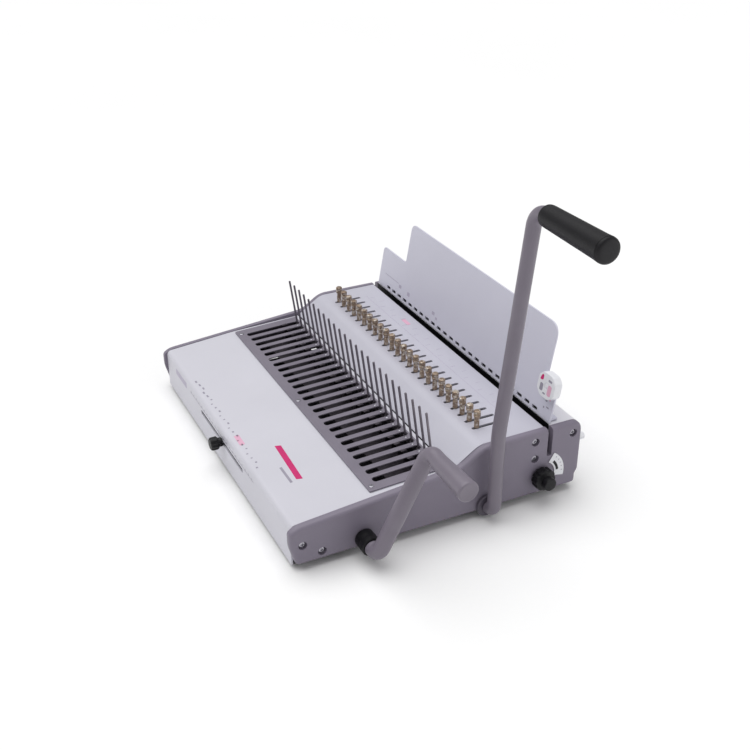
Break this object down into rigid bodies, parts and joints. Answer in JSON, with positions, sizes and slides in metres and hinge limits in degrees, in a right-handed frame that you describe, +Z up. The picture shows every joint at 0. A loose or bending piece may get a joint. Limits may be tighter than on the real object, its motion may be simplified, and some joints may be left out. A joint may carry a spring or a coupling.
{
  "type": "comb binding machine",
  "caption": "Manual desktop comb binding machine: paper punch with selectable pins, comb opener, side levers, backrest and chip drawer.",
  "frame": {"origin": "middle of the bounding box, on the table top that the rubber feet stand on", "axes": "+X to the operator's right where the levers are, +Y to the back, +Z up"},
  "size_m": [0.5232, 0.3426, 0.3378],
  "materials": {
    "cover_paint": "smooth satin powder coat, light lavender grey",
    "panel_paint": "fine textured powder coat, mauve grey",
    "lever_paint": "satin powder coat, mauve grey",
    "steel": "brushed",
    "dark_steel": "dark blued, satin",
    "brass": "turned, yellow passivated",
    "black_plastic": "moulded, matt",
    "rubber": "matt",
    "white_plastic": "moulded, semi gloss",
    "galvanised": "zinc plated"
  },
  "bodies": {
    "root": {"base_plate": "galvanised", "side_panel_left": "panel_paint", "side_panel_right": "panel_paint", "front_cover": "cover_paint", "punch_cover": "cover_paint", "rear_cover": "cover_paint", "backrest": "cover_paint", "window_strip": "black_plastic", "comb_plate": "steel", "finger_comb": "dark_steel", "guide_block": "steel", "die_block": "steel", "punch_bushing": "lever_paint", "margin_scale": "white_plastic", "rear_bumper_left": "white_plastic", "rear_bumper_right": "white_plastic", "foot_front_left": "rubber", "foot_rear_left": "rubber", "foot_front_right": "rubber", "foot_rear_right": "rubber"},
    "punch_lever": {"punch_lever": "lever_paint", "punch_grip": "black_plastic", "punch_shaft": "dark_steel"},
    "punch_ram": {"punch_ram": "steel"},
    "idler": {"idler_shaft": "steel"},
    "binding_lever": {"binding_lever": "lever_paint", "binding_hub": "black_plastic", "binding_shaft": "dark_steel"},
    "hook_rake": {"hook_rake": "dark_steel"},
    "size_wedge": {"size_wedge": "galvanised"},
    "size_knob": {"size_knob": "black_plastic"},
    "margin_knob": {"margin_knob": "black_plastic", "margin_cam": "steel"},
    "margin_stop": {"margin_stop": "galvanised"},
    "gauge_dial": {"gauge_dial": "white_plastic"},
    "chip_drawer": {"chip_drawer": "panel_paint"},
    "selector_01": {"selector_01": "brass"},
    "selector_02": {"selector_02": "brass"},
    "selector_03": {"selector_03": "brass"},
    "selector_04": {"selector_04": "brass"},
    "selector_05": {"selector_05": "brass"},
    "selector_06": {"selector_06": "brass"},
    "selector_07": {"selector_07": "brass"},
    "selector_08": {"selector_08": "brass"},
    "selector_09": {"selector_09": "brass"},
    "selector_10": {"selector_10": "brass"},
    "selector_11": {"selector_11": "brass"},
    "selector_12": {"selector_12": "brass"},
    "selector_13": {"selector_13": "brass"},
    "selector_14": {"selector_14": "brass"},
    "selector_15": {"selector_15": "brass"},
    "selector_16": {"selector_16": "brass"},
    "selector_17": {"selector_17": "brass"},
    "selector_18": {"selector_18": "brass"},
    "selector_19": {"selector_19": "brass"},
    "selector_20": {"selector_20": "brass"},
    "selector_21": {"selector_21": "brass"},
    "selector_22": {"selector_22": "brass"},
    "selector_23": {"selector_23": "brass"},
    "selector_24": {"selector_24": "brass"}
  },
  "joints": [
    {"name": "binding_lever_hinge", "type": "hinge", "parent": "root", "child": "binding_lever", "pos_m": [-0.06062, -0.08645, 0.0192], "axis": [1, 0, 0], "range_deg": [0, 90]},
    {"name": "binding_rake_slide", "type": "slide", "parent": "root", "child": "hook_rake", "axis": [0, -1, 0], "range_m": [0, 0.0321]},
    {"name": "chip_drawer_slide", "type": "slide", "parent": "root", "child": "chip_drawer", "axis": [-1, 0, 0], "range_m": [0, 0.25]},
    {"name": "comb_size_slide", "type": "slide", "parent": "root", "child": "size_wedge", "axis": [1, 0, 0], "range_m": [-0.06, 0.055]},
    {"name": "comb_size_knob_turn", "type": "hinge", "parent": "size_wedge", "child": "size_knob", "pos_m": [-0.05763, -0.16325, 0.033], "axis": [0, 1, 0], "range_deg": [-180, 180]},
    {"name": "gauge_dial_turn", "type": "hinge", "parent": "root", "child": "gauge_dial", "pos_m": [0.12387, 0.12566, 0.12223], "axis": [0, -0.9848, 0.1736], "range_deg": [-135, 135]},
    {"name": "margin_knob_turn", "type": "hinge", "parent": "root", "child": "margin_knob", "pos_m": [0.14037, 0.11175, 0.0293], "axis": [1, 0, 0], "range_deg": [0, 70]},
    {"name": "margin_stop_slide", "type": "slide", "parent": "root", "child": "margin_stop", "axis": [0, 0, 1], "range_m": [0, 0.002]},
    {"name": "punch_lever_hinge", "type": "hinge", "parent": "root", "child": "punch_lever", "pos_m": [-0.06062, 0.04875, 0.015], "axis": [1, 0, 0], "range_deg": [0, 80]},
    {"name": "punch_idler_turn", "type": "hinge", "parent": "root", "child": "idler", "pos_m": [-0.06062, 0.04875, 0.0408], "axis": [1, 0, 0], "range_deg": [-160.1, 0]},
    {"name": "punch_ram_slide", "type": "slide", "parent": "root", "child": "punch_ram", "axis": [0, 1, 0], "range_m": [0, 0.02405]},
    {"name": "selector_01_lift", "type": "slide", "parent": "punch_ram", "child": "selector_01", "axis": [0, 0, 1], "range_m": [0, 0.006]},
    {"name": "selector_02_lift", "type": "slide", "parent": "punch_ram", "child": "selector_02", "axis": [0, 0, 1], "range_m": [0, 0.006]},
    {"name": "selector_03_lift", "type": "slide", "parent": "punch_ram", "child": "selector_03", "axis": [0, 0, 1], "range_m": [0, 0.006]},
    {"name": "selector_04_lift", "type": "slide", "parent": "punch_ram", "child": "selector_04", "axis": [0, 0, 1], "range_m": [0, 0.006]},
    {"name": "selector_05_lift", "type": "slide", "parent": "punch_ram", "child": "selector_05", "axis": [0, 0, 1], "range_m": [0, 0.006]},
    {"name": "selector_06_lift", "type": "slide", "parent": "punch_ram", "child": "selector_06", "axis": [0, 0, 1], "range_m": [0, 0.006]},
    {"name": "selector_07_lift", "type": "slide", "parent": "punch_ram", "child": "selector_07", "axis": [0, 0, 1], "range_m": [0, 0.006]},
    {"name": "selector_08_lift", "type": "slide", "parent": "punch_ram", "child": "selector_08", "axis": [0, 0, 1], "range_m": [0, 0.006]},
    {"name": "selector_09_lift", "type": "slide", "parent": "punch_ram", "child": "selector_09", "axis": [0, 0, 1], "range_m": [0, 0.006]},
    {"name": "selector_10_lift", "type": "slide", "parent": "punch_ram", "child": "selector_10", "axis": [0, 0, 1], "range_m": [0, 0.006]},
    {"name": "selector_11_lift", "type": "slide", "parent": "punch_ram", "child": "selector_11", "axis": [0, 0, 1], "range_m": [0, 0.006]},
    {"name": "selector_12_lift", "type": "slide", "parent": "punch_ram", "child": "selector_12", "axis": [0, 0, 1], "range_m": [0, 0.006]},
    {"name": "selector_13_lift", "type": "slide", "parent": "punch_ram", "child": "selector_13", "axis": [0, 0, 1], "range_m": [0, 0.006]},
    {"name": "selector_14_lift", "type": "slide", "parent": "punch_ram", "child": "selector_14", "axis": [0, 0, 1], "range_m": [0, 0.006]},
    {"name": "selector_15_lift", "type": "slide", "parent": "punch_ram", "child": "selector_15", "axis": [0, 0, 1], "range_m": [0, 0.006]},
    {"name": "selector_16_lift", "type": "slide", "parent": "punch_ram", "child": "selector_16", "axis": [0, 0, 1], "range_m": [0, 0.006]},
    {"name": "selector_17_lift", "type": "slide", "parent": "punch_ram", "child": "selector_17", "axis": [0, 0, 1], "range_m": [0, 0.006]},
    {"name": "selector_18_lift", "type": "slide", "parent": "punch_ram", "child": "selector_18", "axis": [0, 0, 1], "range_m": [0, 0.006]},
    {"name": "selector_19_lift", "type": "slide", "parent": "punch_ram", "child": "selector_19", "axis": [0, 0, 1], "range_m": [0, 0.006]},
    {"name": "selector_20_lift", "type": "slide", "parent": "punch_ram", "child": "selector_20", "axis": [0, 0, 1], "range_m": [0, 0.006]},
    {"name": "selector_21_lift", "type": "slide", "parent": "punch_ram", "child": "selector_21", "axis": [0, 0, 1], "range_m": [0, 0.006]},
    {"name": "selector_22_lift", "type": "slide", "parent": "punch_ram", "child": "selector_22", "axis": [0, 0, 1], "range_m": [0, 0.006]},
    {"name": "selector_23_lift", "type": "slide", "parent": "punch_ram", "child": "selector_23", "axis": [0, 0, 1], "range_m": [0, 0.006]},
    {"name": "selector_24_lift", "type": "slide", "parent": "punch_ram", "child": "selector_24", "axis": [0, 0, 1], "range_m": [0, 0.006]}
  ],
  "couplings": [
    {"joint": "binding_rake_slide", "follows": "binding_lever_hinge", "m_per_rad": 0.0204},
    {"joint": "margin_knob_turn", "follows": "margin_stop_slide", "rad_per_m": 610.8},
    {"joint": "punch_idler_turn", "follows": "punch_lever_hinge", "ratio": -2},
    {"joint": "punch_ram_slide", "follows": "punch_lever_hinge", "m_per_rad": 0.0172}
  ]
}
